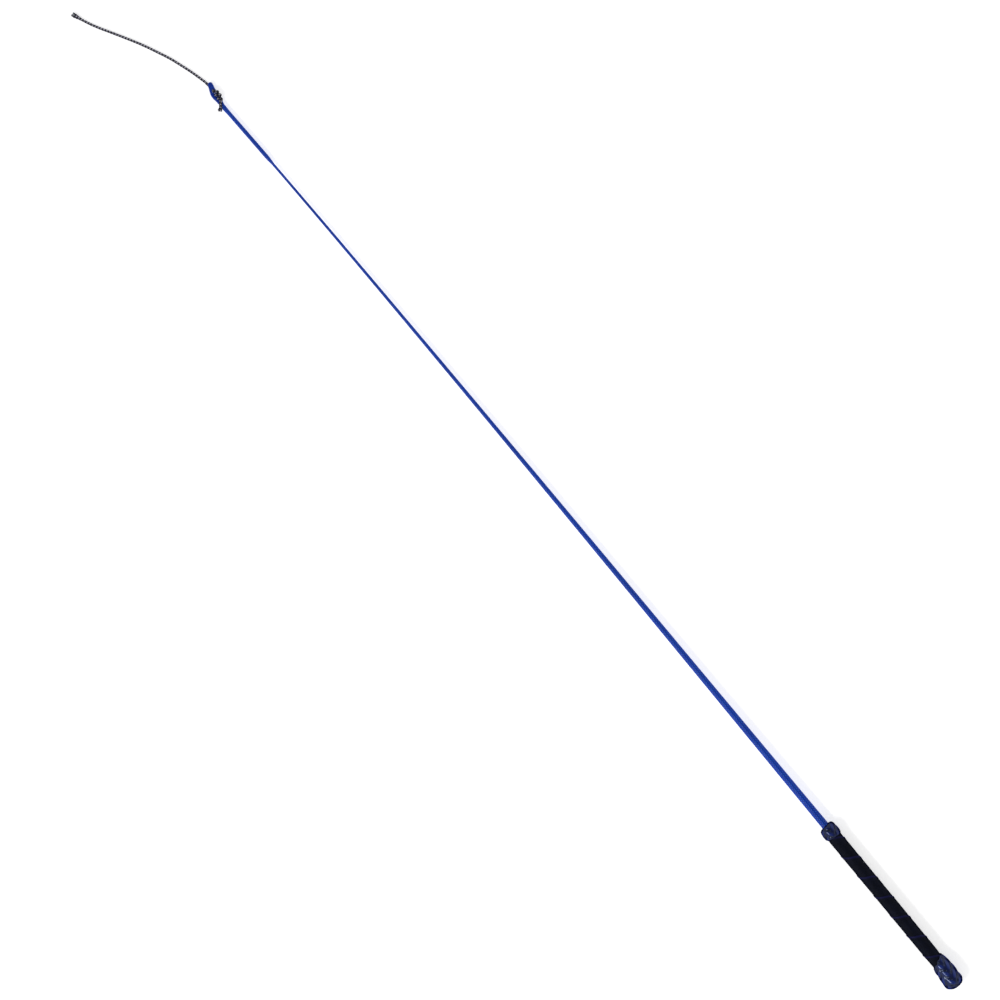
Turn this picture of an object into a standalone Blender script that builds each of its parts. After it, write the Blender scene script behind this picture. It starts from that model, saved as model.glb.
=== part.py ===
"""Dressage (riding) whip, lying on a flat surface, +Z up, metres.

The tip points along -X and the butt along +X.  A tapered fibreglass rod
carries a braided nylon sleeve.  At the thin end the sleeve is turned back
into an eye and spliced into itself, and a limp braided lash is knotted
through that eye.  The handle is a tube over the sleeved rod, wrapped with a
spiral leather strip between a plaited cap and a plaited collar.
"""
import bpy
import bmesh
from math import sin, cos, pi, exp, radians, sqrt
from mathutils import Vector

# ----------------------------------------------------------- driving sizes
WHIP_LEN = 1.100          # loop crest to butt face
X_MID = 0.549363          # distance from the crest to the frame's origin
Y_MID = 0.000873          # sideways shift that centres the box on the origin
GAP = 0.0003              # clearance between touching pieces

COLLAR_U0, COLLAR_U1 = 0.9040, 0.9180
GRIP_U0, GRIP_U1 = 0.9135, 1.0735
CAP_U0, CAP_U1 = 1.0690, WHIP_LEN
GRIP_R = 0.0067
TUBE_R, TUBE_BORE = 0.0056, 0.00405
SLEEVE_BUTT_R = 0.0037    # sleeve radius at the handle
SLEEVE_THIN_R = 0.00122   # sleeve radius just behind the splice
SPLICE_R = 0.00190        # sleeve radius over the buried tail
SPLICE_U0, SPLICE_U1 = 0.0270, 0.0900
WALL_BUTT, WALL_THIN = 0.0007, 0.00038
PITCH = 0.0240            # spiral of the leather strip
STRIP_W = 0.0237
LOBES = 8                 # plait lobes round the cap and the collar
CAP_LOBE, COLLAR_LOBE = 0.00032, 0.00028

LOOP_R = 0.0011           # folded sleeve in the eye
KNOT_R = 0.0011           # lash where it is pulled tight in the knot
LASH_R = 0.0011
LOOP_Z = 0.00385          # height of the eye's plane
ROOT_LEN = 0.0150         # lash between its two bending points

# ------------------------------------------------------------- collections
for old in list(bpy.data.objects):
    bpy.data.objects.remove(old, do_unlink=True)

parts = bpy.data.collections.new("dressage_whip")
cutters = bpy.data.collections.new("cutters")
bpy.context.scene.collection.children.link(parts)
bpy.context.scene.collection.children.link(cutters)


def material(name, rgb, rough, metal=0.0):
    m = bpy.data.materials.new(name)
    m.use_nodes = True
    b = m.node_tree.nodes["Principled BSDF"]
    b.inputs["Base Color"].default_value = (rgb[0], rgb[1], rgb[2], 1.0)
    b.inputs["Roughness"].default_value = rough
    b.inputs["Metallic"].default_value = metal
    m.diffuse_color = (rgb[0], rgb[1], rgb[2], 1.0)
    return m


# -------------------------------------------------------------- centreline
def smooth(a, b, x):
    t = min(1.0, max(0.0, (x - a) / (b - a)))
    return t * t * (3.0 - 2.0 * t)


def axis_w(u):
    """Sideways place of the shaft's centre: a faint natural bow."""
    return 0.000937 * (-2.0 + 5.6 * exp(-(u - 0.0375) / 0.1967))


Z_CAP, Z_COLLAR = 0.00985, 0.00838
U_CAP, U_COLLAR = 1.0930, 0.9115
SLOPE = (Z_CAP - Z_COLLAR) / (U_CAP - U_COLLAR)


def axis_z(u):
    """Height of the centre: the handle rests on cap and collar, the thin end
    on the knot, and the springy rod bends between them."""
    z1 = Z_COLLAR + SLOPE * (COLLAR_U0 - U_COLLAR)
    if u >= COLLAR_U0:
        return Z_COLLAR + SLOPE * (u - U_COLLAR)
    u0, z0, s0 = 0.026, LOOP_Z, 0.0
    if u <= u0:
        return z0
    h = COLLAR_U0 - u0
    t = (u - u0) / h
    return ((2*t**3 - 3*t**2 + 1) * z0 + (t**3 - 2*t**2 + t) * h * s0
            + (3*t**2 - 2*t**3) * z1 + (t**3 - t**2) * h * SLOPE)


def place(u, w, z):
    """Whip coordinates (distance from crest, sideways, height) to world."""
    return Vector((u - X_MID, -w - Y_MID, z))


def sleeve_r(u):
    body = SLEEVE_THIN_R
    if u > 0.10:
        t = min(1.0, (u - 0.10) / (COLLAR_U0 - 0.10))
        body += (SLEEVE_BUTT_R - SLEEVE_THIN_R) * t ** 1.38
    return body + (SPLICE_R - SLEEVE_THIN_R) * (1.0 - smooth(SPLICE_U1 - 0.002, SPLICE_U1 + 0.010, u))


def sleeve_wall(u):
    return WALL_THIN + (WALL_BUTT - WALL_THIN) * smooth(0.10, 0.90, u)


def span(a, b, n):
    return [a + (b - a) * i / (n - 1.0) for i in range(n)]


# ------------------------------------------------------------ shape makers
def finish(obj, mat, angle=35.0):
    obj.data.materials.clear()
    obj.data.materials.append(mat)
    if obj.type == 'MESH':
        obj.data.shade_smooth()
        obj.data.set_sharp_from_angle(angle=radians(angle))
    return obj


def turned(name, profile, sides, mat, closed=True, lobe=None):
    """Profile (distance along the whip, radius) turned about the centreline.
    A closed profile gives a ring, an open one starts and ends on the axis."""
    me = bpy.data.meshes.new(name + "_profile")
    pts = [(u, 0.0, r) for u, r in profile]
    edges = [(i, i + 1) for i in range(len(pts) - 1)]
    if closed:
        edges.append((len(pts) - 1, 0))
    me.from_pydata(pts, edges, [])
    ob = bpy.data.objects.new(name, me)
    parts.objects.link(ob)
    sc = ob.modifiers.new("turn", 'SCREW')
    sc.axis = 'X'
    sc.steps = sides
    sc.render_steps = sides
    sc.use_merge_vertices = True
    sc.merge_threshold = 0.00001
    dg = bpy.context.evaluated_depsgraph_get()
    body = bpy.data.meshes.new_from_object(ob.evaluated_get(dg))
    ob.modifiers.clear()
    ob.data = body
    bm = bmesh.new()
    bm.from_mesh(body)
    bmesh.ops.remove_doubles(bm, verts=bm.verts, dist=0.00001)
    bmesh.ops.recalc_face_normals(bm, faces=bm.faces)
    for v in bm.verts:
        u = v.co.x
        if lobe:
            r = sqrt(v.co.y ** 2 + v.co.z ** 2)
            if r > 1e-6:
                k = (r + lobe(u, r, v.co.y, v.co.z)) / r
                v.co.y *= k
                v.co.z *= k
        p = place(u, axis_w(u), axis_z(u))
        v.co = Vector((p.x, p.y + v.co.y, p.z + v.co.z))
    bm.to_mesh(body)
    bm.free()
    return finish(ob, mat)


def spline_through(pts, step):
    """Points every `step` along a smooth curve through the route's points."""
    fine = []
    n = len(pts)
    for i in range(n - 1):
        p0 = pts[max(i - 1, 0)]
        p1, p2 = pts[i], pts[i + 1]
        p3 = pts[min(i + 2, n - 1)]
        for k in range(24):
            t = k / 24.0
            fine.append(0.5 * ((2 * p1) + (p2 - p0) * t + (2*p0 - 5*p1 + 4*p2 - p3) * t * t
                               + (3*p1 - p0 - 3*p2 + p3) * t ** 3))
    fine.append(pts[-1].copy())
    dist = [0.0]
    for a, b in zip(fine, fine[1:]):
        dist.append(dist[-1] + (b - a).length)
    total = dist[-1]
    m = max(2, int(round(total / step)))
    out, j = [], 0
    for i in range(m + 1):
        want = total * i / m
        while j < len(dist) - 2 and dist[j + 1] < want:
            j += 1
        f = (want - dist[j]) / max(1e-12, dist[j + 1] - dist[j])
        out.append(fine[j].lerp(fine[j + 1], min(1.0, f)))
    return out, total


def along(pts, s):
    """Point and direction at distance s along a polyline."""
    for a, b in zip(pts, pts[1:]):
        d = (b - a).length
        if s <= d:
            return a.lerp(b, s / d), (b - a).normalized()
        s -= d
    return pts[-1].copy(), (pts[-1] - pts[-2]).normalized()


def cut_route(pts, s0, s1, step):
    n = max(2, int(round((s1 - s0) / step)))
    return [along(pts, s0 + (s1 - s0) * i / n)[0] for i in range(n + 1)]


def tube(name, pts, radius, mat, factors=None, origin=None, res=2):
    """A cord: a poly spline with a round section and filled caps."""
    o = origin if origin is not None else Vector((0, 0, 0))
    cu = bpy.data.curves.new(name, 'CURVE')
    cu.dimensions = '3D'
    cu.twist_mode = 'MINIMUM'
    cu.bevel_depth = radius
    cu.bevel_resolution = res
    cu.use_fill_caps = True
    sp = cu.splines.new('POLY')
    sp.points.add(len(pts) - 1)
    for i, p in enumerate(pts):
        q = p - o
        sp.points[i].co = (q.x, q.y, q.z, 1.0)
        sp.points[i].radius = factors[i] if factors else 1.0
    sp.use_smooth = True
    ob = bpy.data.objects.new(name, cu)
    ob.location = o
    parts.objects.link(ob)
    cu.materials.append(mat)
    return ob


# --------------------------------------------------------------- materials
SLEEVE_BLUE = (0.010, 0.075, 0.46)
M_core = material("fibreglass", (0.72, 0.74, 0.62), 0.35)
M_sleeve = material("blue_nylon_braid", SLEEVE_BLUE, 0.42)
M_tail = material("blue_nylon_braid_inner", (0.012, 0.06, 0.36), 0.55)
M_loop = material("blue_nylon_fold", (0.010, 0.070, 0.43), 0.45)
M_tube = material("handle_tube_plastic", (0.05, 0.05, 0.055), 0.5)
M_grip = material("navy_grip_leather", (0.030, 0.032, 0.105), 0.75)
M_bind_f = material("front_waxed_thread", (0.02, 0.02, 0.06), 0.6)
M_bind_r = material("rear_waxed_thread", (0.02, 0.02, 0.06), 0.6)
M_plug = material("beech_plug", (0.52, 0.36, 0.20), 0.6)
M_cap = material("plaited_navy_gloss", (0.022, 0.020, 0.17), 0.22)
M_disc = material("navy_gloss_button", (0.022, 0.020, 0.16), 0.25)
M_collar = material("collar_navy_gloss", (0.022, 0.022, 0.18), 0.22)
M_knot = material("black_braid_knot", (0.020, 0.020, 0.035), 0.65)
M_root = material("black_braid_root", (0.022, 0.022, 0.038), 0.65)
M_lash = material("black_braid_lash", (0.024, 0.024, 0.040), 0.65)

# ------------------------------------------------------------ rod and tube
us = span(0.0300, COLLAR_U0 - 0.001, 36) + [1.040, 1.0840]
core_r = lambda u: (sleeve_r(u) - sleeve_wall(u) - GAP if u > SPLICE_U1 + 0.012 else
                    SLEEVE_THIN_R - WALL_THIN - GAP)
core = [(us[0], 0.0)] + [(u, core_r(u)) for u in us] + [(us[-1], 0.0)]
turned("core_rod", core, 12, M_core, closed=False)

us = ([SPLICE_U0 + 0.0003] + span(0.033, SPLICE_U1 - 0.004, 4)
      + span(SPLICE_U1 - 0.002, SPLICE_U1 + 0.012, 6)
      + span(0.118, COLLAR_U0 - 0.002, 28) + [COLLAR_U0 + 0.01, 1.0820])
outer = [(u, sleeve_r(u)) for u in us]
inner = [(u, sleeve_r(u) - sleeve_wall(u)) for u in reversed(us)]
turned("braided_sleeve", outer + inner, 12, M_sleeve)

# The braid's own end, buried between rod and sleeve along the splice.
us = span(0.0300, SPLICE_U1 - 0.006, 6)
t_out = SPLICE_R - WALL_THIN - GAP
t_in = core_r(0.05) + GAP
turned("spliced_tail", [(u, t_out) for u in us] + [(u, t_in) for u in reversed(us)], 12, M_tail)

turned("handle_tube", [(0.9080, TUBE_R), (1.0835, TUBE_R), (1.0840, TUBE_R - 0.0005),
                       (1.0840, TUBE_BORE), (0.9080, TUBE_BORE)], 24, M_tube)

# ------------------------------------------------- spiral-wrapped leather
turns = 9
me = bpy.data.meshes.new("grip_strip")
ri, ro = TUBE_R + GAP, GRIP_R
u0 = GRIP_U1
me.from_pydata([(u0, 0, ro), (u0 + STRIP_W, 0, ro), (u0 + STRIP_W, 0, ri), (u0, 0, ri)],
               [(0, 1), (1, 2), (2, 3), (3, 0)], [])
grip = bpy.data.objects.new("grip_wrap", me)
parts.objects.link(grip)
sc = grip.modifiers.new("spiral", 'SCREW')
sc.axis = 'X'
sc.steps = sc.render_steps = 24
sc.iterations = turns
sc.screw_offset = -PITCH
dg = bpy.context.evaluated_depsgraph_get()
body = bpy.data.meshes.new_from_object(grip.evaluated_get(dg))
grip.modifiers.clear()
grip.data = body
bm = bmesh.new()
bm.from_mesh(body)
bmesh.ops.remove_doubles(bm, verts=bm.verts, dist=0.00001)
bmesh.ops.holes_fill(bm, edges=[e for e in bm.edges if e.is_boundary], sides=4)
bmesh.ops.recalc_face_normals(bm, faces=bm.faces)
bm.to_mesh(body)
bm.free()

bpy.ops.mesh.primitive_cylinder_add(vertices=32, radius=0.012, depth=GRIP_U1 - GRIP_U0,
                                    location=((GRIP_U0 + GRIP_U1) / 2, 0, 0), rotation=(0, pi / 2, 0))
trim = bpy.context.object
trim.name = "grip_trim"
for c in list(trim.users_collection):
    c.objects.unlink(trim)
cutters.objects.link(trim)
trim.hide_render = True
trim.display_type = 'WIRE'
bo = grip.modifiers.new("trim_ends", 'BOOLEAN')
bo.operation = 'INTERSECT'
bo.solver = 'EXACT'
bo.object = trim
dg = bpy.context.evaluated_depsgraph_get()
body = bpy.data.meshes.new_from_object(grip.evaluated_get(dg))
grip.modifiers.clear()
grip.data = body
for v in body.vertices:
    p = place(v.co.x, axis_w(v.co.x), axis_z(v.co.x))
    v.co = (p.x, p.y + v.co.y, p.z + v.co.z)
finish(grip, M_grip)

# ------------------------------------------------------- thread bindings
turned("front_binding", [(0.9085, 0.0069), (0.9132, 0.0069), (0.9132, TUBE_R + GAP),
                         (0.9085, TUBE_R + GAP)], 24, M_bind_f)
turned("rear_binding", [(1.0738, 0.0071), (1.0785, 0.0071), (1.0785, TUBE_R + GAP),
                        (1.0738, TUBE_R + GAP)], 24, M_bind_r)


# -------------------------------------------------------- cap and collar
def plait(amount, fade_u, fade_len, keep_r):
    def f(u, r, y, z):
        if r < keep_r:
            return 0.0
        c2 = (z / r)
        s2 = (y / r)
        # cos(LOBES * angle) with a valley at the underside
        re, im = 1.0, 0.0
        for _ in range(LOBES):
            re, im = re * c2 - im * s2, re * s2 + im * c2
        return -amount * re * smooth(fade_u, fade_u + fade_len, u)
    return f


cap_outer = [(31.0, 7.45), (28.5, 7.85), (26.0, 8.20), (21.5, 8.75), (17.0, 9.20), (12.5, 9.60),
             (9.5, 9.85), (7.0, 10.0), (5.5, 9.85), (4.2, 9.30), (2.9, 8.35), (1.8, 7.30),
             (0.7, 6.10), (0.0, 4.60)]
cap_inner = [(0.0, 3.60), (3.4, 3.60), (3.4, 7.00), (5.5, 8.30), (9.5, 8.45), (21.0, 7.60),
             (26.0, 7.50), (26.3, 7.00), (31.0, 7.00)]
prof = [(WHIP_LEN - v / 1000.0, r / 1000.0) for v, r in cap_outer + cap_inner]
turned("cap_cover", prof, 32, M_cap, lobe=plait(CAP_LOBE, CAP_U0, 0.012, 0.0090 - 0.0016))

plug_prof = [(21.2, TUBE_R * 1000 + 0.3), (21.2, 7.20), (9.5, 8.10), (5.9, 7.95), (3.75, 6.60),
             (3.75, 0.0)]
prof = [(WHIP_LEN - 0.0156, 0.0), (WHIP_LEN - 0.0156, TUBE_R + GAP)] + \
       [(WHIP_LEN - v / 1000.0, r / 1000.0) for v, r in plug_prof]
turned("cap_plug", prof, 24, M_plug, closed=False)

turned("cap_end_disc", [(WHIP_LEN - 0.0034, 0.0), (WHIP_LEN - 0.0034, 0.0033),
                        (WHIP_LEN - 0.0003, 0.0033), (WHIP_LEN, 0.0030), (WHIP_LEN, 0.0)],
       24, M_disc, closed=False)

collar_outer = [(0.0, 7.25), (0.6, 7.75), (1.2, 8.15), (3.0, 8.38), (7.0, 8.50), (9.8, 8.25),
                (11.6, 7.75), (12.8, 7.15), (14.0, 6.20)]
collar_inner = [(14.0, 4.05), (10.4, 4.05), (10.4, 7.20), (4.5, 7.20), (4.2, 6.98), (0.0, 6.98)]
prof = [(COLLAR_U1 - v / 1000.0, r / 1000.0) for v, r in collar_outer + collar_inner]
turned("collar_knot", prof, 32, M_collar, lobe=plait(COLLAR_LOBE, COLLAR_U0 - 0.006, 0.004, 0.00745))

# ------------------------------------------------------------ eye and knot
MM = 0.001


def route(points):
    return [place(u * MM, w * MM, z * MM) for u, w, z in points]


lz = LOOP_Z / MM
eye = route([(26.75, 4.95, lz), (24.0, 5.05, lz), (20.0, 5.35, lz), (16.0, 5.55, lz),
             (12.0, 5.30, lz), (8.0, 4.45, lz), (4.6, 3.35, lz), (2.1, 2.35, lz), (1.1, 1.1, lz),
             (2.1, -0.15, lz), (5.0, -0.55, lz), (9.0, -0.50, lz), (13.0, -0.20, lz),
             (17.0, 0.30, lz), (21.0, 1.15, lz), (24.5, 1.95, lz), (26.75, 2.35, lz)])
pts, _ = spline_through(eye, 0.0014)
tube("tip_loop", pts, LOOP_R, M_loop)

lo, hi = 1.15, lz + 2.75
mid = lz
knot = route([(-1.2, 1.95, 1.28), (1.1, 1.95, 1.15), (4.6, 2.05, lo), (7.4, 2.1, 1.45), (9.2, 2.15, mid),
              (9.7, 1.25, hi - 0.75), (9.9, -0.45, hi), (10.1, -2.3, hi - 0.8), (10.3, -3.1, mid),
              (10.7, -2.3, lo + 0.7), (11.3, -0.4, lo), (12.1, 1.5, lo + 0.75), (12.7, 2.5, mid),
              (12.9, 1.5, hi - 0.75), (13.1, -0.2, hi), (13.3, -2.1, hi - 0.8), (13.5, -2.9, mid),
              (13.9, -2.1, lo + 0.7), (14.6, -0.2, lo), (15.4, 1.8, lo + 0.75), (16.0, 2.95, mid),
              (17.0, 3.25, hi - 0.6), (19.0, 4.1, hi), (22.0, 5.5, hi), (24.6, 6.8, hi - 0.5),
              (26.6, 7.9, hi - 1.5), (28.3, 8.8, hi - 2.3)])
pts, _ = spline_through(knot, 0.0013)
n = len(pts)
tube("lash_knot", pts, KNOT_R, M_knot,
     factors=[1.0 + 0.12 * smooth(n - 5, n - 1, i) for i in range(n)])

# -------------------------------------------------------------------- lash
LZ = LASH_R / MM + 0.03
FLARE = 0.9 * LASH_R / MM     # the frayed end is fatter, so its centre lies higher
lash_route = route([(-2.6, 2.2, LZ), (-10.0, 4.05, LZ), (-20.0, 6.8, LZ), (-38.7, 13.0, LZ),
                    (-52.0, 18.7, LZ), (-65.5, 24.9, LZ), (-80.7, 33.0, LZ), (-93.5, 40.2, LZ),
                    (-105.9, 47.2, LZ), (-117.0, 52.5, LZ + 0.05), (-128.3, 56.9, LZ + FLARE + 0.12)])
fine, lash_len = spline_through(lash_route, 0.0010)

pivot_a = fine[0]
pivot_b, dir_b = along(fine, ROOT_LEN)


def rounded(centre, direction, radius):
    """Points and radius factors of a hemispherical start about a bend."""
    back = [0.985, 0.88, 0.62, 0.30]
    return ([centre - direction * radius * k for k in back],
            [max(0.12, sqrt(1 - k * k)) for k in back])


_, dir_a = along(fine, 0.0)
pre, fac = rounded(pivot_a, dir_a, LASH_R)
run = cut_route(fine, 0.0, ROOT_LEN - LASH_R - GAP, 0.0033)
tube("lash_root", pre + run, LASH_R, M_root, factors=fac + [1.0] * len(run), origin=pivot_a)

pre, fac = rounded(pivot_b, dir_b, LASH_R)
run = cut_route(fine, ROOT_LEN, lash_len, 0.0040)
m = len(run)
tube("lash", pre + run, LASH_R, M_lash,
     factors=fac + [1.0 + 0.9 * smooth(m - 4, m - 1, i) for i in range(m)], origin=pivot_b)
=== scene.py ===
import math

import bpy
import numpy as np
from mathutils import Vector, Matrix


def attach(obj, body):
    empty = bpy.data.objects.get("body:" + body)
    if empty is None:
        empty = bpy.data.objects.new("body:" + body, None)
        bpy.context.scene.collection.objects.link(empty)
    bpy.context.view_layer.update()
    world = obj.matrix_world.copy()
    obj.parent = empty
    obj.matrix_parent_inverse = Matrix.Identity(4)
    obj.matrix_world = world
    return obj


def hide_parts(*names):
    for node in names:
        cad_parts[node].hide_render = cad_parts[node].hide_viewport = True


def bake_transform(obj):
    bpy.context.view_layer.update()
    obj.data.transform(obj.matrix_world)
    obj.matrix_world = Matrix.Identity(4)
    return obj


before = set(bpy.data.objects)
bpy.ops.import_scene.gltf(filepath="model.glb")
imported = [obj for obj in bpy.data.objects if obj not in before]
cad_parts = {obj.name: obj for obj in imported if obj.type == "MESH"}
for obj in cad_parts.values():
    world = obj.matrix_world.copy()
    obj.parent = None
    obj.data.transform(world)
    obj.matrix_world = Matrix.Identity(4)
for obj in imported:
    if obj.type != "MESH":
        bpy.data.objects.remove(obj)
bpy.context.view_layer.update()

scene = bpy.context.scene
COLL = bpy.data.collections.new("whip_looks")
scene.collection.children.link(COLL)

# ------------------------------------------------------------------ sizes
WHIP_LEN = 1.100
X_MID, Y_MID = 0.549363, 0.000873
COLLAR_U0, COLLAR_U1 = 0.9040, 0.9180
GRIP_U0, GRIP_U1 = 0.9135, 1.0735
CAP_U0 = 1.0690
GRIP_R = 0.0067
SLEEVE_BUTT_R, SLEEVE_THIN_R, SPLICE_R = 0.0037, 0.00122, 0.0019
SPLICE_U1 = 0.0900
PITCH = 0.0240
LASH_R, KNOT_R = 0.0011, 0.0011
LOOP_Z = 0.00385
MM = 0.001
TAU = 2 * math.pi


def sstep(a, b, x):
    """0 at a, 1 at b, smooth between; a may be above b."""
    t = np.clip((np.asarray(x, float) - a) / (b - a), 0, 1)
    return t * t * (3 - 2 * t)


def axis_w(u):
    return 0.000937 * (-2.0 + 5.6 * np.exp(-(np.asarray(u, float) - 0.0375) / 0.1967))


Z_CAP, Z_COLLAR, U_CAP, U_COLLAR = 0.00985, 0.00838, 1.0930, 0.9115
SLOPE = (Z_CAP - Z_COLLAR) / (U_CAP - U_COLLAR)


def axis_z(u):
    u = np.asarray(u, float)
    z1 = Z_COLLAR + SLOPE * (COLLAR_U0 - U_COLLAR)
    u0, z0 = 0.026, LOOP_Z
    h = COLLAR_U0 - u0
    t = np.clip((u - u0) / h, 0, 1)
    mid = ((2*t**3 - 3*t**2 + 1) * z0 + (3*t**2 - 2*t**3) * z1 + (t**3 - t**2) * h * SLOPE)
    return np.where(u >= COLLAR_U0, Z_COLLAR + SLOPE * (u - U_COLLAR), np.where(u <= u0, z0, mid))


def place(u, w, z):
    u, w, z = np.broadcast_arrays(np.asarray(u, float), np.asarray(w, float), np.asarray(z, float))
    return np.stack([u - X_MID, -w - Y_MID, z], -1)


def centre(u):
    return place(u, axis_w(u), axis_z(u))


def sleeve_r(u):
    u = np.asarray(u, float)
    t = np.clip((u - 0.10) / (COLLAR_U0 - 0.10), 0, 1)
    body = SLEEVE_THIN_R + (SLEEVE_BUTT_R - SLEEVE_THIN_R) * t ** 1.38
    return body + (SPLICE_R - SLEEVE_THIN_R) * (1.0 - sstep(SPLICE_U1 - 0.002, SPLICE_U1 + 0.010, u))


def noise1(k):
    """A fixed value from 0 to 1 for each whole number."""
    return np.modf(np.abs(np.sin(np.asarray(k, float) * 12.9898 + 4.1414) * 43758.5453))[0]


def value_noise(x, y, z):
    """Smooth noise from 0 to 1 on a unit lattice, the same on every run."""
    out = 0.0
    xi, yi, zi = np.floor(x), np.floor(y), np.floor(z)
    fx, fy, fz = x - xi, y - yi, z - zi
    fx, fy, fz = (f * f * (3 - 2 * f) for f in (fx, fy, fz))
    for dx in (0, 1):
        for dy in (0, 1):
            for dz in (0, 1):
                h = noise1((xi + dx) * 1.0 + (yi + dy) * 57.0 + (zi + dz) * 131.0)
                out = out + h * np.where(dx, fx, 1 - fx) * np.where(dy, fy, 1 - fy) * np.where(dz, fz, 1 - fz)
    return out


# ------------------------------------------------------------ mesh helpers
def make_mesh(name, verts, faces, attrs=None, angle=None):
    me = bpy.data.meshes.new(name)
    me.from_pydata([tuple(v) for v in np.asarray(verts, float)], [], faces)
    me.validate()
    for key, val in (attrs or {}).items():
        a = me.attributes.new(key, "FLOAT", "POINT")
        a.data.foreach_set("value", np.asarray(val, np.float32))
    me.shade_smooth()
    if angle:
        me.set_sharp_from_angle(angle=math.radians(angle))
    ob = bpy.data.objects.new(name, me)
    COLL.objects.link(ob)
    return ob


def dense_route(pts, per=40):
    """A smooth line through the route's points."""
    pts = np.asarray(pts, float)
    n = len(pts)
    out = []
    for i in range(n - 1):
        p0, p1, p2, p3 = pts[max(i-1, 0)], pts[i], pts[i+1], pts[min(i+2, n-1)]
        t = (np.arange(per) / per)[:, None]
        out.append(0.5 * (2*p1 + (p2-p0)*t + (2*p0-5*p1+4*p2-p3)*t*t + (3*p1-p0-3*p2+p3)*t**3))
    out.append(pts[-1:])
    return np.concatenate(out)


class Path:
    """A line with a steady frame, read by distance along it."""

    def __init__(self, pts, side=None):
        pts = np.asarray(pts, float)
        seg = np.linalg.norm(np.diff(pts, axis=0), axis=1)
        keep = np.concatenate([[True], seg > 1e-9])
        pts = pts[keep]
        self.p = pts
        self.s = np.concatenate([[0], np.cumsum(np.linalg.norm(np.diff(pts, axis=0), axis=1))])
        self.length = self.s[-1]
        t = np.gradient(pts, axis=0)
        t /= np.linalg.norm(t, axis=1)[:, None]
        self.t = t
        n = np.zeros_like(t)
        first = np.array(side if side is not None else (0, 1, 0), float)
        first = first - t[0] * first.dot(t[0])
        n[0] = first / np.linalg.norm(first)
        for i in range(1, len(pts)):
            v = n[i-1] - t[i] * n[i-1].dot(t[i])
            n[i] = v / np.linalg.norm(v)
        self.n = n

    def at(self, s):
        s = np.clip(s, 0, self.length)
        f = lambda a: np.stack([np.interp(s, self.s, a[:, k]) for k in range(3)], -1)
        p, t, n = f(self.p), f(self.t), f(self.n)
        t /= np.linalg.norm(t, axis=-1)[..., None]
        n -= t * (n * t).sum(-1)[..., None]
        n /= np.linalg.norm(n, axis=-1)[..., None]
        return p, t, n, np.cross(t, n)


def braid(p, q, flat=2.4, over=0.55, weave=2):
    """Relief of a round braid at (p, q): p counts strand crossings round it,
    q along it.  Returns height, family (0 or 1), strand number and place
    along and across the top strand.  weave 2 passes over two and under two."""
    a, b = (p + q) / 2, (p - q) / 2
    i, j = np.round(a), np.round(b)
    fa, fb = a - i, b - j
    per = 2.0 * weave
    mid_a = (weave - 1) / 2.0
    za = np.cos(TAU * ((i + b) - mid_a) / per)
    zb = np.cos(TAU * ((a + j) - mid_a - weave) / per)
    pa = np.maximum(0, 1 - np.abs(2 * fa) ** flat) ** 0.6
    pb = np.maximum(0, 1 - np.abs(2 * fb) ** flat) ** 0.6
    ha, hb = over * za + pa, over * zb + pb
    top = ha >= hb
    h = np.where(top, ha, hb)
    return h, np.where(top, 0.0, 1.0), np.where(top, i, j), np.where(top, fa, fb), np.where(top, za, zb)


def strand_marks(h, fam, strand, across, lift):
    """What the materials read: depth, place across the strand, its own tone and
    whether it is one of the pale tracer strands."""
    tone = noise1(strand * 3.7 + fam * 11.3 + 5.0)
    pale = (fam < 0.5) * (np.mod(strand, 2.0) < 0.5) * sstep(0.47, 0.36, np.abs(across)) * sstep(-0.05, 0.3, lift)
    return {"cav": h.ravel(), "across": np.abs(across).ravel(), "tone": tone.ravel(), "pale": pale.ravel()}


def lattice_faces(rows, nm):
    """Diamond quads of a braid lattice with `rows` rows of `nm` points."""
    k = np.arange(nm)
    faces = []
    for r in range(rows - 2):
        if r % 2 == 0:
            q = np.stack([r*nm + k, (r+1)*nm + k, (r+2)*nm + k, (r+1)*nm + (k-1) % nm], 1)
        else:
            q = np.stack([r*nm + k, (r+1)*nm + (k+1) % nm, (r+2)*nm + k, (r+1)*nm + k], 1)
        faces.append(q)
    faces = np.concatenate(faces).tolist()
    for i in range(nm):
        faces.append([i, (i+1) % nm, nm + i])
    last = (rows - 1) * nm
    prev = last - nm
    for i in range(nm):
        nxt = (i+1) % nm
        mid = prev + (i if (rows - 2) % 2 == 0 else nxt)
        faces.append([mid, last + nxt, last + i])
    return faces


def cap_fan(verts, faces, start, nm, centre_pt, outward_end):
    verts.append(np.asarray(centre_pt)[None])
    c = sum(len(v) for v in verts) - 1
    for i in range(nm):
        j = (i+1) % nm
        faces.append([start + i, start + j, c] if outward_end else [start + j, start + i, c])


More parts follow.
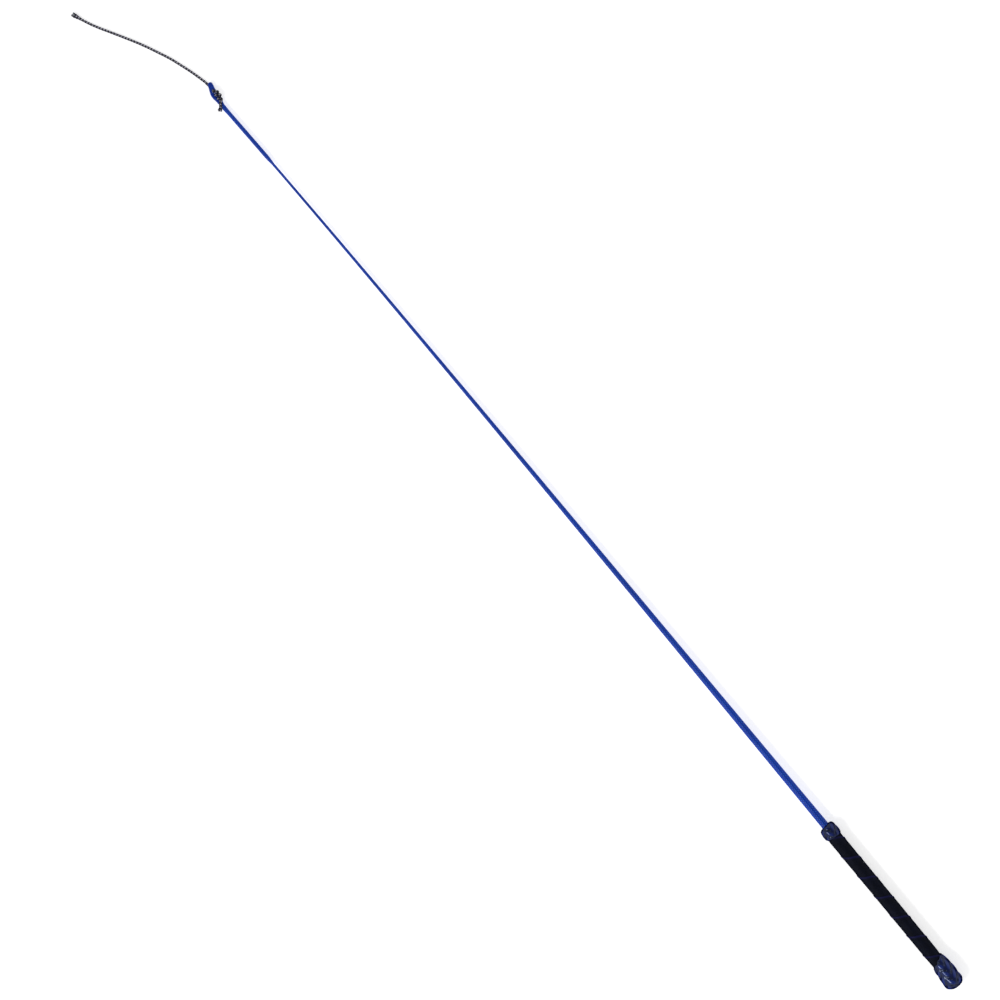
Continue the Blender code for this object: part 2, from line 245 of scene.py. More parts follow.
def braided_cord(name, path, s0, s1, radius, n, delta, amp, m=4, row0=0, oval=None, twist=0.0,
                 dome=0.0, weave=2, flat=2.4, inner=None, end_wild=0.0, over=0.55):
    """A round braid swept along a path: n strands wind each way, delta is half
    the distance between picks.  inner gives a hollow sleeve's bore."""
    rows = int(round((s1 - s0) / (delta / m)))
    rows += (rows + 1) % 2
    nm = n * m
    r = np.arange(rows)
    s = s0 + (s1 - s0) * r / (rows - 1.0)
    P, T, N, B = path.at(s)
    k = np.arange(nm)
    c = 2 * k[None, :] + (r[:, None] & 1)
    p = c / float(m)
    q = np.repeat(((r + row0) / float(m))[:, None], nm, 1)
    h, fam, strand, across, lift = braid(p, q, weave=weave, flat=flat, over=over)
    theta = math.pi * p / n + (twist * s)[:, None]
    R = radius(s)[:, None] if callable(radius) else np.full((rows, 1), radius)
    A = amp(s)[:, None] if callable(amp) else amp
    rho = R + A * (h - 0.75)
    ox, oz = oval(s) if oval else (np.ones(rows), np.ones(rows))
    cx, sx = np.cos(theta) * ox[:, None], np.sin(theta) * oz[:, None]
    V = P[:, None, :] + rho[..., None] * (cx[..., None] * N[:, None, :] + sx[..., None] * B[:, None, :])
    if end_wild:
        f = sstep(s1 - 0.0035, s1, s)[:, None]
        jig = (noise1(np.floor(p) * 7.0 + 3.0) - 0.45) * end_wild * f
        V = V + T[:, None, :] * jig[..., None]
    # pressed flat where it rests on the table
    V[..., 2] = np.maximum(V[..., 2], 0.00003)
    verts = [V.reshape(-1, 3)]
    faces = lattice_faces(rows, nm)
    attrs = strand_marks(h, fam, strand, across, lift)
    extra = 0
    if inner is None:
        cap_fan(verts, faces, 0, nm, P[0] - T[0] * dome, False)
        cap_fan(verts, faces, (rows-1)*nm, nm, P[-1] + T[-1] * (dome if not end_wild else -0.0006), True)
        extra = 2
    else:
        step = max(2, (rows // 40) * 2)
        pick = list(range(0, rows - 1, step))
        if pick[-1] != rows - 1:
            pick.append(rows - 1)
        base = rows * nm
        th = math.pi * (2 * k / float(m)) / n
        Ri = inner(s[pick])
        ring = (P[pick][:, None, :] + Ri[:, None, None] *
                ((np.cos(th)[None, :] * ox[pick][:, None])[..., None] * N[pick][:, None, :] +
                 (np.sin(th)[None, :] * oz[pick][:, None])[..., None] * B[pick][:, None, :]))
        verts.append(ring.reshape(-1, 3))
        extra = len(pick) * nm
        kk = (k + 1) % nm
        for g in range(len(pick) - 1):
            a, b = base + g*nm, base + (g+1)*nm
            faces += np.stack([a + k, b + k, b + kk, a + kk], 1).tolist()
        faces += np.stack([k, base + k, base + kk, kk], 1).tolist()
        lo, li = (rows-1)*nm, base + (len(pick)-1)*nm
        faces += np.stack([lo + k, lo + kk, li + kk, li + k], 1).tolist()
    # the bore and the end faces get the lowest depth, so the materials paint them in shade
    for key in attrs:
        attrs[key] = np.concatenate([attrs[key], np.full(extra, -0.2 if key == "cav" else 0.0)])
    return make_mesh(name, np.concatenate(verts), faces, attrs), P, rows + row0 - 1


def plaited_shell(name, outer, inner, n, delta, amp, m, fade, scallop=0.0, weave=2, turn0=0.0, flat=5.0,
                  over=0.45, slant=None, lean=None):
    """A shell of plaited strands over a turned form.  outer and inner are
    (distance along the whip, radius) profiles.  slant tips the rows near one
    end towards +Y, lean moves the middle sideways."""
    slant = slant or (lambda x: 0.0 * x)
    lean = lean or (lambda x: 0.0 * x)
    outer = np.asarray(outer, float)
    seg = np.concatenate([[0], np.cumsum(np.linalg.norm(np.diff(outer, axis=0), axis=1))])
    rows = int(round(seg[-1] / (delta / m)))
    rows += (rows + 1) % 2
    r = np.arange(rows)
    t = seg[-1] * r / (rows - 1.0)
    U, R = np.interp(t, seg, outer[:, 0]), np.interp(t, seg, outer[:, 1])
    for _ in range(6):
        U[1:-1] = (U[:-2] + 2*U[1:-1] + U[2:]) / 4
        R[1:-1] = (R[:-2] + 2*R[1:-1] + R[2:]) / 4
    dU, dR = np.gradient(U), np.gradient(R)
    ln = np.hypot(dU, dR)
    nu, nr = -dR / ln, dU / ln
    nm = n * m
    k = np.arange(nm)
    c = 2 * k[None, :] + (r[:, None] & 1)
    p = c / float(m)
    q = np.repeat((t / delta)[:, None], nm, 1) + turn0
    h, fam, strand, across, lift = braid(p, q, weave=weave, flat=flat, over=over)
    h = 0.7 * h + 0.15 * (np.roll(h, 1, 1) + np.roll(h, -1, 1))
    h[2:-2] = 0.7 * h[2:-2] + 0.15 * (h[4:] + h[:-4])
    F = fade(t, seg[-1])[:, None]
    theta = math.pi * p / n
    d = amp * F * (h - 0.85)
    u = U[:, None] + nu[:, None] * d
    if scallop:
        edge = np.exp(-t / 0.0022)[:, None]
        u = u + scallop * edge * (0.5 - 0.5 * np.cos(math.pi * p))
    rr = R[:, None] + nr[:, None] * d
    C = centre(U)
    yy, zz = np.cos(theta), np.sin(theta)
    u = u + slant(U)[:, None] * yy
    V = np.stack([u - X_MID, C[:, None, 1] + lean(U)[:, None] + rr * yy, C[:, None, 2] + rr * zz], -1)
    # it rests on the table without passing through it
    V[..., 2] = np.maximum(V[..., 2], 0.00004)
    verts = [V.reshape(-1, 3)]
    faces = lattice_faces(rows, nm)
    attrs = strand_marks(h * F + (1 - F) * 0.6, fam, strand, across, lift)
    base = rows * nm
    kk = (k + 1) % nm
    th = math.pi * (2 * k / float(m)) / n
    for u_i, r_i in inner:
        ci = centre(u_i)
        tip_x = float(slant(np.array([u_i]))[0]) * np.cos(th)
        verts.append(np.stack([ci[0] + tip_x, ci[1] + float(lean(np.array([u_i]))[0]) + r_i * np.cos(th),
                               ci[2] + r_i * np.sin(th)], -1))
    li = base
    faces += np.stack([(rows-1)*nm + k, (rows-1)*nm + kk, li + kk, li + k], 1).tolist()
    for g in range(len(inner) - 1):
        a, b = base + g*nm, base + (g+1)*nm
        faces += np.stack([a + k, a + kk, b + kk, b + k], 1).tolist()
    last = base + (len(inner)-1)*nm
    faces += np.stack([last + k, last + kk, kk, k], 1).tolist()
    extra = len(inner) * nm
    # the inner faces get the lowest depth, so the materials paint them in shade
    for key in attrs:
        attrs[key] = np.concatenate([attrs[key], np.full(extra, -0.2 if key == "cav" else 0.0)])
    ob = make_mesh(name, np.concatenate(verts), faces, attrs)
    return ob


# --------------------------------------------------------------- materials
def srgb(r, g, b):
    f = lambda c: (c / 255.0 / 12.92) if c / 255.0 <= 0.04045 else ((c / 255.0 + 0.055) / 1.055) ** 2.4
    return (f(r), f(g), f(b), 1.0)


class Nodes:
    def __init__(self, name):
        self.m = bpy.data.materials.new(name)
        self.m.use_nodes = True
        self.t = self.m.node_tree
        self.b = self.t.nodes["Principled BSDF"]

    def new(self, kind, **props):
        nd = self.t.nodes.new(kind)
        for k, v in props.items():
            setattr(nd, k, v)
        return nd

    def link(self, a, b):
        self.t.links.new(a, b)

    def val(self, sock, v):
        if hasattr(v, "is_linked") or isinstance(v, bpy.types.NodeSocket):
            self.link(v, sock)
        else:
            sock.default_value = v

    def attr(self, name):
        return self.new("ShaderNodeAttribute", attribute_name=name).outputs["Fac"]

    def math(self, op, a, b=0.0, c=None, clamp=False):
        nd = self.new("ShaderNodeMath", operation=op, use_clamp=clamp)
        self.val(nd.inputs[0], a)
        self.val(nd.inputs[1], b)
        if c is not None:
            self.val(nd.inputs[2], c)
        return nd.outputs[0]

    def span(self, v, a, b, lo=0.0, hi=1.0):
        nd = self.new("ShaderNodeMapRange")
        nd.interpolation_type = "SMOOTHSTEP"
        for s, x in zip(nd.inputs[:5], (v, a, b, lo, hi)):
            self.val(s, x)
        return nd.outputs[0]

    def mix(self, f, a, b):
        nd = self.new("ShaderNodeMix", data_type="RGBA")
        self.val(nd.inputs[0], f)
        self.val(nd.inputs[6], a)
        self.val(nd.inputs[7], b)
        return nd.outputs[2]

    def coords(self, scale=(1, 1, 1)):
        tc = self.new("ShaderNodeTexCoord")
        mp = self.new("ShaderNodeMapping")
        mp.inputs["Scale"].default_value = scale
        self.link(tc.outputs["Object"], mp.inputs["Vector"])
        return mp.outputs[0]

    def noise(self, scale, detail=3.0, rough=0.55, vec=None):
        nd = self.new("ShaderNodeTexNoise")
        nd.inputs["Scale"].default_value = scale
        nd.inputs["Detail"].default_value = detail
        nd.inputs["Roughness"].default_value = rough
        self.link(vec if vec is not None else self.coords(), nd.inputs["Vector"])
        return nd.outputs["Fac"]

    def voronoi(self, scale, feature="F1", vec=None, out="Distance"):
        nd = self.new("ShaderNodeTexVoronoi", feature=feature)
        nd.inputs["Scale"].default_value = scale
        self.link(vec if vec is not None else self.coords(), nd.inputs["Vector"])
        return nd.outputs[out]

    def bump(self, height, strength, dist, prev=None):
        nd = self.new("ShaderNodeBump")
        nd.inputs["Strength"].default_value = strength
        nd.inputs["Distance"].default_value = dist
        self.link(height, nd.inputs["Height"])
        if prev is not None:
            self.link(prev, nd.inputs["Normal"])
        return nd.outputs[0]

    def face(self, lo=0.10, hi=0.52):
        """1 where the surface faces the viewer, 0 at its edges: keeps the gloss off them."""
        lw = self.new("ShaderNodeLayerWeight")
        return self.span(lw.outputs["Facing"], lo, hi, 1.0, 0.0)

    def out(self, color=None, rough=None, normal=None, spec=None, coat=None, coat_rough=None, sheen=None,
            sheen_rough=None, metal=None, sheen_tint=None):
        b = self.b.inputs
        for key, v in (("Base Color", color), ("Roughness", rough), ("Specular IOR Level", spec),
                       ("Coat Weight", coat), ("Coat Roughness", coat_rough), ("Sheen Weight", sheen),
                       ("Sheen Roughness", sheen_rough), ("Metallic", metal), ("Sheen Tint", sheen_tint)):
            if v is not None:
                self.val(b[key], v)
        if normal is not None:
            self.link(normal, b["Normal"])
        return self.m


def blue_braid(name, deep, mid, painted_highlight):
    """Filament nylon: painted shade between strands, a painted highlight where a strand crests."""
    g = Nodes(name)
    cav, tone = g.attr("cav"), g.attr("tone")
    var = g.noise(620.0, 2.0)
    slow = g.noise(24.0, 2.0)
    # painted shade: darker where the relief is low, between the strands
    base = g.mix(g.span(cav, 0.0, 0.95), deep, mid)
    base = g.mix(g.math("MULTIPLY", tone, 0.22), base, deep)
    # painted highlight: a lighter colour on the crest of each strand
    crest = g.span(g.math("ADD", cav, g.math("MULTIPLY", tone, 0.10)), 1.22, 1.52)
    base = g.mix(g.math("MULTIPLY", crest, 0.80), base, painted_highlight)
    fil = g.new("ShaderNodeTexWave", wave_type="BANDS", bands_direction="X")
    comb = g.new("ShaderNodeCombineXYZ")
    g.link(g.attr("across"), comb.inputs[0])
    g.link(comb.outputs[0], fil.inputs["Vector"])
    fil.inputs["Scale"].default_value = 2.6
    fil.inputs["Distortion"].default_value = 0.0
    base = g.mix(g.math("MULTIPLY", fil.outputs["Fac"], 0.20), base, deep)
    base = g.mix(g.span(var, 0.35, 0.75, 0.0, 0.22), base, mid)
    base = g.mix(g.span(slow, 0.4, 0.7, 0.0, 0.14), base, deep)
    fuzz = g.noise(2600.0, 2.0)
    nrm = g.bump(fil.outputs["Fac"], 0.35, 0.00006)
    nrm = g.bump(fuzz, 0.25, 0.00005, nrm)
    rough = g.span(var, 0.3, 0.7, 0.34, 0.50)
    return g.out(base, rough, nrm, spec=g.math("MULTIPLY", g.face(0.15, 0.7), 0.20))


def tracer_braid(name, tracer_painted_shade=0.0):
    """Black braid with a white tracer on every other strand of one hand, with painted shade low in the relief."""
    g = Nodes(name)
    cav = g.attr("cav")
    white = g.span(g.attr("pale"), 0.35, 0.65)
    nz = g.noise(900.0, 3.0)
    black = g.mix(g.span(nz, 0.35, 0.7), srgb(7, 7, 13), srgb(20, 20, 34))
    black = g.mix(g.math("MULTIPLY", g.attr("tone"), 0.5), black, srgb(24, 24, 42))
    # painted shade: the black darker where the relief is low
    black = g.mix(g.span(cav, 0.4, -0.1), black, srgb(3, 3, 6))
    pale = g.mix(g.span(nz, 0.3, 0.7), srgb(226, 224, 238), srgb(168, 167, 190))
    # painted shade: the white tracer greyer where the relief is low
    pale = g.mix(g.span(cav, 0.9, 0.2), pale, srgb(90, 90, 112))
    # the tracer dimmed by the given amount: painted shade
    col = g.mix(g.math("MULTIPLY", white, 1.0 - tracer_painted_shade), black, pale)
    fuzz = g.noise(3000.0, 3.0)
    nrm = g.bump(fuzz, 0.4, 0.00008)
    return g.out(col, g.span(nz, 0.3, 0.7, 0.5, 0.68), nrm,
                 spec=g.math("MULTIPLY", g.face(0.15, 0.7), 0.22))


def gloss_leather(name, deep, mid, edge, shine=0.50):
    """Plaited lace leather: polished faces, painted shade in the joints, a painted highlight on the crowns, scuffs at
    random.
    """
    g = Nodes(name)
    cav = g.attr("cav")
    grain = g.voronoi(1500.0, "DISTANCE_TO_EDGE")
    creases = g.noise(420.0, 4.0, 0.6)
    # painted shade: darker where the relief is low, in the joints between laces
    col = g.mix(g.span(cav, 0.35, 1.0), deep, mid)
    col = g.mix(g.math("MULTIPLY", g.span(creases, 0.5, 0.8), 0.35), col, deep)
    # painted highlight: the lighter colour on the crown of each lace
    col = g.mix(g.math("MULTIPLY", g.span(cav, 1.1, 1.4), 0.7), col, edge)
    wear = g.span(g.noise(230.0, 5.0, 0.7), 0.62, 0.78)
    col = g.mix(g.math("MULTIPLY", wear, 0.25), col, edge)
    # each lace is darker along its edges and has a faint crease beside them
    side = g.attr("across")
    col = g.mix(g.math("MULTIPLY", g.span(side, 0.36, 0.46), 0.85), col, deep)
    crease = g.math("MULTIPLY", g.span(side, 0.24, 0.29), g.span(side, 0.34, 0.29))
    col = g.mix(g.math("MULTIPLY", crease, 0.35), col, deep)
    nrm = g.bump(grain, 0.12, 0.00008)
    nrm = g.bump(creases, 0.3, 0.0002, nrm)
    nrm = g.bump(g.span(side, 0.48, 0.38), 0.5, 0.00025, nrm)
    rough = g.span(creases, 0.3, 0.75, 0.18, 0.32)
    face = g.face()
    g.b.inputs["Specular Tint"].default_value = (0.45, 0.60, 1.0, 1.0)
    return g.out(col, rough, nrm, spec=g.math("MULTIPLY", face, shine),
                 coat=g.math("MULTIPLY", face, 0.34), coat_rough=0.06)


def grip_leather(name):
    """Matte pebbled strip with a smoother, bluer raised edge and painted shade where it dips under the next turn."""
    g = Nodes(name)
    seam = g.attr("seam")
    warp = g.noise(900.0, 2.0)
    peb = g.voronoi(1500.0, "SMOOTH_F1")
    cell = g.voronoi(2900.0, "DISTANCE_TO_EDGE")
    tone = g.noise(150.0, 4.0, 0.65)
    fine = g.noise(2400.0, 4.0, 0.7)
    col = g.mix(g.span(tone, 0.3, 0.7), srgb(3, 6, 15), srgb(8, 12, 27))
    col = g.mix(g.math("MULTIPLY", g.span(peb, 0.50, 0.12), 0.35), col, srgb(15, 22, 44))
    col = g.mix(g.math("MULTIPLY", g.span(fine, 0.56, 0.70), 0.55), col, srgb(42, 50, 86))
    pit = g.span(g.voronoi(1900.0, "DISTANCE_TO_EDGE"), 0.02, 0.16, 1.0, 0.0)
    col = g.mix(g.math("MULTIPLY", pit, 0.45), col, srgb(2, 2, 6))
    col = g.mix(g.math("MULTIPLY", g.span(warp, 0.55, 0.75), 0.35), col, srgb(3, 4, 10))
    col = g.mix(g.math("MULTIPLY", seam, 0.80), col, srgb(17, 17, 66))
    # painted shade: darker in the groove under the next turn's overlapping edge
    col = g.mix(g.math("MULTIPLY", g.attr("edge"), 0.8), col, srgb(4, 5, 13))
    nrm = g.bump(peb, 0.55, 0.00020)
    nrm = g.bump(cell, 0.30, 0.00008, nrm)
    nrm = g.bump(fine, 0.25, 0.00006, nrm)
    rough = g.math("SUBTRACT", g.span(peb, 0.1, 0.6, 0.60, 0.80), g.math("MULTIPLY", seam, 0.18))
    return g.out(col, rough, nrm, spec=g.math("MULTIPLY", g.face(0.1, 0.6), 0.09))


def plain(name, a, b, scale, rough, bump=0.2, spec=0.4, stretch=(1, 1, 1), coat=0.0):
    g = Nodes(name)
    v = g.coords(stretch)
    nz = g.noise(scale, 4.0, 0.6, v)
    col = g.mix(g.span(nz, 0.3, 0.7), a, b)
    fine = g.noise(scale * 5, 2.0, 0.5, v)
    face = g.face(0.15, 0.7)
    return g.out(col, g.span(nz, 0.3, 0.7, rough - 0.06, rough + 0.06), g.bump(fine, bump, 0.0001),
                 spec=g.math("MULTIPLY", face, spec), coat=g.math("MULTIPLY", face, coat))


M_SLEEVE = blue_braid("royal_blue_braid", srgb(1, 13, 70), srgb(2, 44, 158), srgb(40, 116, 236))
# the eye's copy of the sleeve braid, darker all over: painted shade
M_EYE = blue_braid("royal_blue_fold_painted_shade", srgb(1, 11, 62), srgb(2, 38, 146), srgb(34, 98, 220))
M_LASH = tracer_braid("tracer_cord")
# the knot's copy of the cord, its tracer dimmed: painted shade
M_KNOT = tracer_braid("tracer_cord_painted_shade", tracer_painted_shade=0.46)
M_CAP = gloss_leather("plaited_navy", srgb(1, 2, 15), srgb(5, 13, 60), srgb(24, 42, 118))
# the collar's copy of the cap leather, a little darker: painted shade
M_COLLAR = gloss_leather("collar_navy_painted_shade", srgb(1, 2, 14), srgb(5, 12, 56), srgb(22, 36, 104), 0.36)
M_GRIP = grip_leather("pebbled_navy")
M_BUTTON = plain("button_navy", srgb(3, 7, 40), srgb(9, 17, 78), 300.0, 0.34, 0.25, 0.22, coat=0.05)
M_ROD = plain("glass_fibre", srgb(206, 208, 180), srgb(182, 190, 160), 40.0, 0.34, 0.15, 0.5, (0.06, 3, 3))
M_TAIL = plain("tail_braid_blue", srgb(8, 40, 130), srgb(16, 66, 180), 700.0, 0.5, 0.6, 0.3)
M_TUBE = plain("black_tube", srgb(24, 24, 27), srgb(38, 38, 42), 120.0, 0.45, 0.1, 0.4, (0.2, 2, 2))
M_THREAD = plain("waxed_thread", srgb(16, 18, 44), srgb(36, 40, 84), 900.0, 0.5, 0.5, 0.35)
M_WOOD = plain("beech", srgb(196, 150, 104), srgb(158, 110, 68), 60.0, 0.55, 0.3, 0.35, (0.4, 3, 3))


def dress(ob, mat):
    ob.data.materials.clear()
    ob.data.materials.append(mat)
    return ob


# ------------------------------------------------------------------ camera
# Straight above, turned so that the whip runs from top left to bottom right.
PX = 0.00093657
PHI = math.atan2(0.77074, 0.63715)
cam_data = bpy.data.cameras.new("camera")
cam = bpy.data.objects.new("camera", cam_data)
scene.collection.objects.link(cam)
cam_data.type = "PERSP"
cam_data.sensor_width = 36.0
DIST = 7.0
cam_data.lens = 36.0 * DIST / (1000 * PX)
cam_data.clip_start, cam_data.clip_end = 0.05, 60.0
cam.location = (0.47598 - X_MID, -0.03865 - Y_MID, DIST + 0.006)
cam.rotation_euler = (0.0, 0.0, PHI)
scene.camera = cam

# -------------------------------------------------------------------- lash
LZ = LASH_R / MM + 0.03
lash_route = place(*np.array([(-2.6, 2.2, LZ), (-10.0, 4.05, LZ), (-20.0, 6.8, LZ), (-38.7, 13.0, LZ),
                              (-52.0, 18.7, LZ), (-65.5, 24.9, LZ), (-80.7, 33.0, LZ), (-93.5, 40.2, LZ),
                              (-105.9, 47.2, LZ), (-117.0, 52.5, LZ + 0.05), (-128.3, 56.9, LZ + 1.11)]).T * MM)
lash_line = Path(dense_route(lash_route))
ROOT_LEN = 0.0150
SPLIT = 0.0080
pivot_a = lash_line.at(np.array([0.0]))
pivot_b = lash_line.at(np.array([ROOT_LEN]))

# the cord leaves the knot under the crest of the eye
neck_in = place(*np.array([(3.6, 1.42, 1.18), (1.1, 1.78, 1.12)]).T * MM)
neck_line = Path(np.concatenate([dense_route(np.concatenate([neck_in, lash_route[:3]]))]))
d0 = np.linalg.norm(neck_line.p - lash_route[0], axis=1)
neck_pivot_s = neck_line.s[int(np.argmin(d0))]

N_LASH, D_LASH = 8, 0.000725
AMP_LASH = 0.00023


def lash_radius(s):
    ends = lash_line.length
    flare = sstep(ends - 0.0105, ends, s)
    return LASH_R - 0.00004 + 0.00088 * flare ** 1.6


# one frame for the whole cord, so that its two lengths match where they meet
whole = Path(np.concatenate([neck_line.p[neck_line.s < neck_pivot_s - 1e-5], lash_line.p]))
OFF = whole.length - lash_line.length
s_split = OFF + SPLIT
neck, neck_c, neck_last = braided_cord("lash_neck", whole, 0.0, s_split, lambda s: np.full_like(s, LASH_R - 0.00004),
                                      N_LASH, D_LASH, AMP_LASH, m=6, dome=0.0)
# both lengths carry on one count of picks, at 6 and at 5 points to a pick
row_lash = neck_last * 5 / 6.0
cord, cord_c, _ = braided_cord("lash_cord", whole, s_split, whole.length, lambda s: lash_radius(s - OFF),
                               N_LASH, D_LASH, lambda s: AMP_LASH * (1 + 0.8 * sstep(whole.length - 0.009, whole.length, s)),
                               m=5, row0=row_lash, end_wild=0.0016)
dress(neck, M_LASH)
dress(cord, M_LASH)
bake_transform(neck)
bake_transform(cord)
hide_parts("lash", "lash_root")

# frayed strand ends at the cut
end_p, end_t, end_n, end_b = (a[0] for a in whole.at(np.array([whole.length])))
fray_v, fray_f, fray_w = [], [], []
for i in range(22):
    ang = TAU * (i + 0.35 * noise1(i * 3.1)) / 22.0 * 2.0
    ringr = (0.00175 if i < 12 else 0.0009) * (0.85 + 0.3 * noise1(i * 5.7))
    ln = 0.0011 + 0.0019 * float(noise1(i * 9.3))
    rad = end_n * math.cos(ang) + end_b * math.sin(ang)
    a0 = end_p - end_t * 0.0012 + rad * ringr * 0.93
    a1 = end_p + end_t * (ln * 0.5) + rad * (ringr + 0.00018)
    a2 = end_p + end_t * ln + rad * (ringr + 0.0001 + 0.0005 * float(noise1(i * 2.3)))
    a0[2], a1[2], a2[2] = max(a0[2], 0.0003), max(a1[2], 0.0003), max(a2[2], 0.0003)
    cpts = [a0, a1, a2]
    rr = [0.00030, 0.00027, 0.00014]
    b0 = len(fray_v)
    side1 = np.cross(end_t, rad)
    for cpt, r_ in zip(cpts, rr):
        for q_ in range(6):
            fray_v.append(cpt + r_ * (math.cos(TAU*q_/6) * rad + math.sin(TAU*q_/6) * side1))
            fray_w.append(1.0 if i % 4 == 0 else 0.0)
    for g_ in range(2):
        for q_ in range(6):
            w_ = (q_ + 1) % 6
            fray_f.append([b0+g_*6+q_, b0+g_*6+w_, b0+(g_+1)*6+w_, b0+(g_+1)*6+q_])
    fray_f.append([b0 + q_ for q_ in reversed(range(6))])
    fray_f.append([b0 + 12 + q_ for q_ in range(6)])
fray = make_mesh("lash_fray", fray_v, fray_f, {"pale": fray_w})
g = Nodes("frayed_ends")
nz = g.noise(1400.0, 2.0)
g.out(g.mix(g.math("MULTIPLY", g.attr("pale"), 0.9), g.mix(nz, srgb(14, 15, 24), srgb(48, 54, 66)),
            g.mix(nz, srgb(190, 200, 214), srgb(226, 230, 238))), 0.6, g.bump(nz, 0.4, 0.0001), spec=0.35)
dress(fray, g.m)
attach(fray, "lash")

tuple(float(x) for x in place(-1.2 * MM, 1.95 * MM, 1.2 * MM))

# --------------------------------------------------------- eye of the sleeve
lz = LOOP_Z / MM
eye_pts = np.array([(30.5, 4.05, lz), (26.75, 4.05, lz), (23.5, 3.95, lz), (20.5, 3.95, lz), (18.2, 4.02, lz),
                    (15.5, 4.36, lz), (12.5, 4.26, lz), (9.3, 3.34, lz), (6.4, 2.12, lz), (4.3, 1.25, lz),
                    (2.50, 0.45, lz), (2.15, -0.42, lz), (2.9, -0.98, lz), (4.6, -0.62, lz), (6.6, -0.20, lz),
                    (8.8, 0.10, lz), (11.0, 0.52, lz), (14.0, 0.98, lz), (18.0, 1.46, lz), (22.0, 2.05, lz),
                    (25.0, 2.50, lz), (28.0, 2.95, lz), (30.5, 3.15, lz)])
eye_line = Path(dense_route(place(*eye_pts.T * MM)), side=(0, 1, 0))
EL = eye_line.length
eye_s = lambda i: eye_line.s[int(np.argmin(np.linalg.norm(eye_line.p - place(*eye_pts[i] * MM), axis=1)))]
S_CREST, S_B0, S_B1 = eye_s(11), eye_s(15), eye_s(19)
S_A1, S_A0 = eye_s(3), eye_s(7)


def eye_oval(s):
    crest = np.exp(-((s - S_CREST) / 0.0028) ** 2)
    leg_b = sstep(S_CREST + 0.001, S_B0, s) * (1 - sstep(S_B1, S_B1 + 0.006, s))
    mouth = (1 - sstep(0.003, 0.0095, s)) + sstep(EL - 0.0095, EL - 0.003, s)
    # the left leg is spread flat against the knot
    leg_a = sstep(S_A1 - 0.0015, S_A1 + 0.002, s) * (1 - sstep(S_A0 - 0.002, S_A0 + 0.001, s))
    wide = 1.50 - 0.34 * crest - 0.36 * leg_b - 0.62 * mouth + 0.12 * leg_a
    thick = 0.84 + 0.10 * crest + 0.02 * leg_b - 0.10 * mouth
    return wide, thick


eye, _, _ = braided_cord("tip_eye", eye_line, 0.0, EL, lambda s: np.full_like(s, 0.00112),
                         12, 0.00098, 0.00012, m=3, oval=eye_oval)
dress(eye, M_EYE)
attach(eye, "whip")
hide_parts("tip_loop")

# -------------------------------------------------------------------- knot
# up through the eye, three loose turns round the narrow leg, then off across
# the throat to the cut end
lo, hi, mid = 1.26, lz + 2.15, lz
knot_pts = np.array([(0.2, 1.85, 1.13), (1.6, 1.70, 1.12), (4.4, 1.25, lo), (6.8, 1.10, 1.75), (8.7, 1.50, 3.3),
                     (9.8, 1.45, hi - 0.6), (10.8, 0.60, hi), (11.9, -0.55, hi - 0.5), (12.6, -1.12, mid + 0.5),
                     (12.9, -0.95, mid - 1.2), (13.3, 0.30, lo), (13.7, 1.75, lo + 0.5), (13.9, 2.40, mid - 0.2),
                     (14.2, 2.00, hi - 0.6), (14.9, 0.75, hi + 0.1), (15.7, -0.55, hi - 0.3), (16.3, -1.12, mid + 0.6),
                     (16.6, -0.90, mid - 1.2), (17.1, 0.45, lo), (17.5, 1.95, lo + 0.4), (17.7, 2.70, mid - 0.3),
                     (17.9, 2.45, hi - 0.7), (18.4, 1.55, hi + 0.1), (19.1, 0.75, hi + 0.2), (19.9, 0.35, hi + 0.7),
                     (20.7, 0.75, hi + 1.4), (21.4, 1.85, hi + 1.7), (22.2, 3.05, hi + 1.4), (23.4, 4.20, hi + 0.7),
                     (24.8, 5.20, hi - 0.1), (26.0, 6.25, hi - 1.0), (26.9, 7.40, hi - 1.7), (27.6, 8.60, hi - 2.2)])
knot_line = Path(dense_route(place(*knot_pts.T * MM), 24))
KL = knot_line.length
knot, _, _ = braided_cord("lash_knot_wraps", knot_line, 0.0, KL,
                          lambda s: 0.00112 + 0.00014 * sstep(0.006, 0.012, s) + 0.00078 * sstep(KL - 0.0042, KL, s),
                          N_LASH, D_LASH, 0.00024, m=6, dome=0.0003, end_wild=0.0011)
dress(knot, M_KNOT)
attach(knot, "whip")
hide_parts("lash_knot")

# ------------------------------------------------------------ braided sleeve
SLEEVE_D = 0.00115
cuts = [0.0238, 0.2850, 0.5450, 0.8050, 1.0600]
fine_u = np.linspace(0.0200, 1.0820, 2400)
shaft_line = Path(centre(fine_u), side=(0, 1, 0))
s_of_u = lambda u: np.interp(u, fine_u, shaft_line.s)
u_of_s = lambda s: np.interp(s, shaft_line.s, fine_u)


def shaft_oval(s):
    f = 1 - sstep(0.0238, 0.0370, u_of_s(s))
    lip = 1 - sstep(0.0238, 0.0290, u_of_s(s))
    return 1.0 + 0.17 * f - 0.08 * lip, 1.0 - 0.16 * f - 0.24 * lip


